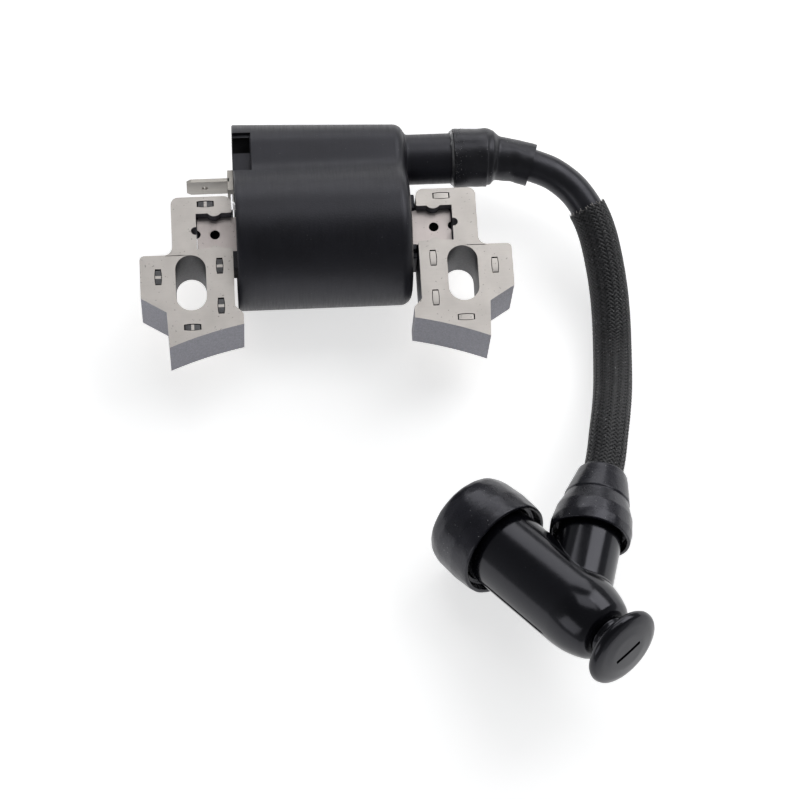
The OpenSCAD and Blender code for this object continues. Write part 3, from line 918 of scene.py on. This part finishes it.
# Flat rebate on the lobe, the keying pocket in it, and the bar's way out
REBATE = (CASE_LEFT - 1, 12.3, 6.7), (CASE_LEFT + 3.9, 22, 12)
POCKET = (CASE_LEFT - 1, 17.6, 6.3), (CASE_LEFT + 3.7, 21.2, 12)
WINDOW_HALF_T = HALF_BAR_T + 0.05
WINDOW = (CASE_RIGHT - 3, -HALF_BAR, -WINDOW_HALF_T), (LEG_IN + 1, HALF_BAR, WINDOW_HALF_T)
cut_block(case, *REBATE, CASE_PLASTIC, AT_BAR)
# The keying pocket is lined near-black, painted shadow
case.data.materials.append(SHADOW_BLACK)
cut_block(case, *POCKET, SHADOW_BLACK, AT_BAR)
cut_block(case, *WINDOW, CASE_PLASTIC, AT_BAR)
shade(case.data, 30)
install(case, "coil", "case_plastic", "outer_case")

# Collar round the bar and the spacer lug below it
COLLAR_HALF_T = 5.2
collar_shape = Shape()
collar_shape.block((CASE_RIGHT - 1, HALF_BAR + 0.02, -COLLAR_HALF_T), (LEG_IN - 0.2, 7.4, COLLAR_HALF_T))
collar_shape.block((CASE_RIGHT - 1, -5.4, -COLLAR_HALF_T),
                   (LEG_IN - 0.2, -HALF_BAR - 0.02, COLLAR_HALF_T))
collar_shape.block((CASE_RIGHT - 1, -6.8, -4), (LEG_IN - 0.05, -4.2, 4))
collar = collar_shape.build("case_collar", [CASE_PLASTIC], place=AT_BAR)
bevel(collar, 0.3, segments=3)
install(collar, "coil", "case_plastic")

# High-tension tower with a small flare where it leaves the case
TOWER_R = 5.4
FLARE_R = 0.7
flare_profile = []
for turn in (20, 40, 60, 80):
    angle = math.radians(turn)
    out, back = FLARE_R * (1 - math.cos(angle)), FLARE_R * (1 - math.sin(angle))
    flare_profile.append((TOWER_R + out, CASE_RIGHT + back))
tower_shape = Shape()
tower_shape.lathe([
    (3.65, 21.95), (3.65, 32), (5.1, 32), (5.32, 31.9), (TOWER_R, 31.6), (TOWER_R, CASE_RIGHT + 1),
    *flare_profile,
    (TOWER_R + FLARE_R, CASE_RIGHT - 0.8), (1.4, CASE_RIGHT - 0.8), (1.4, 21.95),
])
tower = tower_shape.build("case_tower", [CASE_PLASTIC], place=TOWER)
install(tower, "coil", "case_plastic")


# ---- Push-on tab ----

# The tab and its base plate seen along Y, as (x, z); the tab's corners are chamfered
TAB_HALF_W = 3.15
blade = [
    (-28.7, -2.2), (-27.8, -TAB_HALF_W), (-19.6, -TAB_HALF_W),
    (-19.6, TAB_HALF_W), (-27.8, TAB_HALF_W), (-28.7, 2.2),
]
base_plate = [(-20, -TAB_HALF_W), (-18.8, -TAB_HALF_W), (-18.8, TAB_HALF_W), (-20, TAB_HALF_W)]
# Maps a shape made in X and Y so that its Y runs along Z and its Z runs back along Y
STANDING = Matrix(((1, 0, 0, 0), (0, 0, -1, 0), (0, 1, 0, 0), (0, 0, 0, 1)))
tab_shape = Shape()
tab_shape.prism(blade, -13.6, -12.8, holes=[circle(-24.8, 0, 0.65)])
tab_shape.prism(base_plate, -15.4, -10.8)
# One material all over
tab_shape.slots = [FACES] * len(tab_shape.slots)
tab = tab_shape.build("kill_terminal_tab", [TIN_PLATE], place=AT_BAR @ STANDING)
bevel(tab, 0.06)
install(tab, "coil", "tinned_steel", "kill_terminal_blade")


# ---- Plug cap ----

def irregular(amount):
    """A wobble for lathe: slight unevenness of moulded rubber."""
    return lambda angle, radius, z: (
        rough((radius * math.cos(angle), radius * math.sin(angle), z), 0.5, amount), 0)


boot_profile = [
    (6.75, 19.1), (7.5, 19.1), (7.7, 16.8), (8.4, 16.8), (8.5, 19), (8, 22), (6.75, 25.4), (6.9, 25.8),
    (5.8, 30), (5.25, 32), (4.6, 32.6), (4.6, 26.2), (5.25, 26.2), (5.25, 20.05), (6.75, 20.05),
]
boot_shape = Shape()
boot_shape.lathe(soften(boot_profile, 0.25), sides=120, wobble=irregular(0.1))
boot = boot_shape.build("lead_boot_skin", [RUBBER], place=AT_CAP)
install(boot, "plug_cap", "boot_rubber", "lead_boot")

CAP_R = 8.5
seal_profile = [
    (CAP_R + 0.05, 23.2), (9.7, 23.2), (9.9, 21.3), (10.7, 21.3), (10.8, 22.5), (11, 26), (10.8, 30),
    (10.45, 32), (9.9, 33.2), (9.2, 33.8), (6.3, 33.8), (5.9, 33.4), (5.9, 29.7), (CAP_R + 0.05, 29.7),
]
seal_shape = Shape()
seal_shape.lathe(soften(seal_profile, 0.55), sides=144, wobble=irregular(0.1))
seal = seal_shape.build("plug_seal_skin", [RUBBER], place=AT_PLUG)
install(seal, "plug_cap", "boot_rubber", "plug_seal_boot")

barrel_shape = Shape()
shoulder = [(CAP_R, 29.6), (CAP_R, -1.2), (8.2, -4), (7.5, -6.6), (6.7, -8.5), (5.5, -9.5), (2.15, -9.5)]
bores = [
    (2.15, -7.1), (0, -7.1), (0, -1.5), (2.95, -1.5), (2.95, 10.2), (4.15, 10.2), (4.15, 13.4),
    (5.1, 13.4), (5.1, 17.3), (5.8, 17.3), (5.8, 29.6),
]
barrel_shape.lathe(soften(shoulder, 1.6, closed=False) + bores, sides=144)
barrel = barrel_shape.build("cap_barrel", [PHENOLIC], place=AT_PLUG, sharp=30)
install(barrel, "plug_cap", "cap_phenolic", "plug_cap_body")


# Branch that meets the barrel with a moulded fillet
BRANCH_R = 6.7
FILLET = 0.35
BRANCH_SIDES = 96
cap_to_plug = (AT_PLUG.inverted() @ AT_CAP).to_3x3()


def above_barrel(radius, angle):
    """How far up the branch's axis a line at this radius and angle leaves the barrel's skin.

    It is the farther root of a quadratic in the distance along the axis.
    """
    start = cap_to_plug @ Vector((radius * math.cos(angle), radius * math.sin(angle), 0))
    along = cap_to_plug @ Vector((0, 0, 1))
    a = along.x ** 2 + along.y ** 2
    b = start.x * along.x + start.y * along.y
    c = start.x ** 2 + start.y ** 2 - CAP_R ** 2
    return (-b + math.sqrt(max(0, b * b - a * c))) / a


def branch_ring(shape, radius, height):
    """A ring of the branch; height(angle) is along its axis."""
    angles = [TAU * k / BRANCH_SIDES for k in range(BRANCH_SIDES)]
    return shape.ring([(radius * math.cos(a), radius * math.sin(a), height(a)) for a in angles])


# How far the branch's foot reaches below the barrel's skin
BRANCH_SUNK = 0.6
branch_shape = Shape()
branch_rings = [
    branch_ring(branch_shape, 2.65, lambda angle: 5.3),
    branch_ring(branch_shape, BRANCH_R + FILLET,
                lambda angle: above_barrel(BRANCH_R + FILLET, angle) - BRANCH_SUNK),
]
for turn in range(0, 91, 15):
    out = FILLET * (1 - math.sin(math.radians(turn)))
    rise = FILLET * (1 - math.cos(math.radians(turn)))
    branch_rings.append(branch_ring(
        branch_shape, BRANCH_R + out,
        lambda angle, out=out, rise=rise: above_barrel(BRANCH_R + out, angle) + rise))
# The branch's step and spigot, then its bore back down
spigot = [(BRANCH_R, 20), (5.2, 20), (5.2, 25.8), (5.0, 26), (3.8, 26), (3.8, 13.7), (2.65, 13.7)]
for radius, z in spigot:
    branch_rings.append(branch_ring(branch_shape, radius, lambda angle, z=z: z))
for first, second in zip(branch_rings, branch_rings[1:] + branch_rings[:1]):
    branch_shape.bridge(first, second)
branch = branch_shape.build("cap_branch", [PHENOLIC], place=AT_CAP)
install(branch, "plug_cap", "cap_phenolic")

# Mould parting lines as slim ridges, at the two sides of the branch and opposite it
ridge_shape = Shape()
for turn in (0, 130, 230):
    around = Matrix.Rotation(math.radians(turn), 4, "Z")
    ridge = []
    for z, height in ((0.4, 0), (1.2, 0.16), (10, 0.16), (20, 0.16), (20.8, 0)):
        foot, crest = CAP_R - 0.1, CAP_R + height
        section = [(foot, -0.18), (crest, -0.05), (crest, 0.05), (foot, 0.18)]
        ridge.append(ridge_shape.ring([around @ Vector((x, y, z)) for x, y in section]))
    for first, second in zip(ridge, ridge[1:]):
        ridge_shape.bridge(first, second)
    ridge_shape.face(ridge[0])
    ridge_shape.face(ridge[-1])
ridges = ridge_shape.build("cap_parting_lines", [PHENOLIC], place=AT_PLUG)
install(ridges, "plug_cap", "cap_phenolic")

KNOB_R = 8.6
knob_profile = [
    (0, -7.2), (2.1, -7.2), (2.1, -9.55), (4.4, -9.55), (3.8, -10.4), (3.7, -11.4),
    (KNOB_R - 1.6, -12.3), (KNOB_R - 0.3, -13), (KNOB_R, -13.8), (KNOB_R - 0.35, -14.7),
    (KNOB_R - 1.7, -15.3), (4.2, -15.7), (0, -15.8),
]
knob_shape = Shape()
knob_shape.lathe(soften(knob_profile, 0.6, closed=False), sides=144, closed=False, wobble=irregular(0.03))
knob = knob_shape.build("pull_knob_head", [PHENOLIC], place=AT_PLUG)
cut_block(knob, (-3.2, -0.45, -17), (3.2, 0.45, -15.4), PHENOLIC, AT_PLUG)
shade(knob.data, 40)
install(knob, "plug_cap", "cap_phenolic", "pull_knob")


# ---- CAD nodes that stay as they are ----

NODE_MATERIALS = {
    "epoxy_potting": RESIN,
    "primary_bobbin": BLACK_PLASTIC,
    "primary_winding": COPPER,
    "secondary_bobbin": NATURAL_PLASTIC,
    "secondary_winding": COPPER,
    "trigger_board": BOARD,
    "switching_transistor": BLACK_PLASTIC,
    "board_capacitors": TAN_CERAMIC,
    "board_resistors": TAN_CERAMIC,
    "ground_strap": BRIGHT_STRIP,
    "tower_contact_pin": BRASS,
    "ht_lead_conductor": COPPER,
    "plug_terminal_socket": BRASS,
    "socket_snap_ring": SPRING_STEEL,
    "contact_spring": SPRING_STEEL,
    "suppressor_resistor": WHITE_CERAMIC,
    "lead_screw_terminal": BRASS,
}
for name, material in NODE_MATERIALS.items():
    cad_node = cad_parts[name]
    cad_node.data.materials.clear()
    cad_node.data.materials.append(material)
for name in ("primary_bobbin", "ground_strap", "epoxy_potting"):
    bevel(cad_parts[name], 0.12)


# ---- Floor and light ----

# A white light table: a pale surface that glows a little, so shadows stay soft
FLOOR_REACH = 3000
floor_corners = [
    (-FLOOR_REACH, -FLOOR_REACH, 0), (FLOOR_REACH, -FLOOR_REACH, 0),
    (FLOOR_REACH, FLOOR_REACH, 0), (-FLOOR_REACH, FLOOR_REACH, 0),
]
floor_shape = Shape()
floor_shape.face(floor_shape.ring(floor_corners))
floor_material = base_material("pale_floor", (0.93, 0.93, 0.93), 0.9, specular=0.1)
principled(floor_material).inputs["Emission Color"].default_value = (1, 1, 1, 1)
principled(floor_material).inputs["Emission Strength"].default_value = 0.6
studio_floor = floor_shape.build("studio_floor", [floor_material])

# The room is pale near the horizon and darker overhead
HORIZON_LIGHT = 0.36
ZENITH_LIGHT = 0.14
world = bpy.data.worlds.new("studio")
world.use_nodes = True
direction = node(world, "ShaderNodeTexCoord")
parts = node(world, "ShaderNodeSeparateXYZ")
link(world, direction.outputs["Generated"], parts.inputs["Vector"])
sky = map_range(world, parts.outputs["Z"], 0.0, 0.75, HORIZON_LIGHT, ZENITH_LIGHT)
world.node_tree.nodes["Background"].inputs["Color"].default_value = (0.96, 0.98, 1, 1)
link(world, sky, world.node_tree.nodes["Background"].inputs["Strength"])
bpy.context.scene.world = world


def softbox(name, place, target, size, radiance):
    """A rectangular light that faces its target; place and size are in metres."""
    data = bpy.data.lights.new(name, "AREA")
    data.shape = "RECTANGLE"
    data.size, data.size_y = size
    data.energy = radiance * math.pi * size[0] * size[1]
    light = bpy.data.objects.new(name, data)
    light.location = place
    light.rotation_euler = (Vector(target) - Vector(place)).to_track_quat("-Z", "Y").to_euler()
    bpy.context.scene.collection.objects.link(light)


MIDDLE = (0.015, -0.035, 0.01)
softbox("key_right", (0.47, 0.36, 0.55), MIDDLE, (0.5, 0.5), 3.0)
softbox("back", (0.03, 0.85, 0.42), MIDDLE, (0.8, 0.45), 1.9)
softbox("overhead", (0.03, 0.42, 0.95), MIDDLE, (0.6, 0.4), 1.6)
softbox("fill_left", (-0.6, -0.45, 0.35), MIDDLE, (0.4, 0.4), 1.3)

bpy.context.scene.view_settings.view_transform = "Standard"
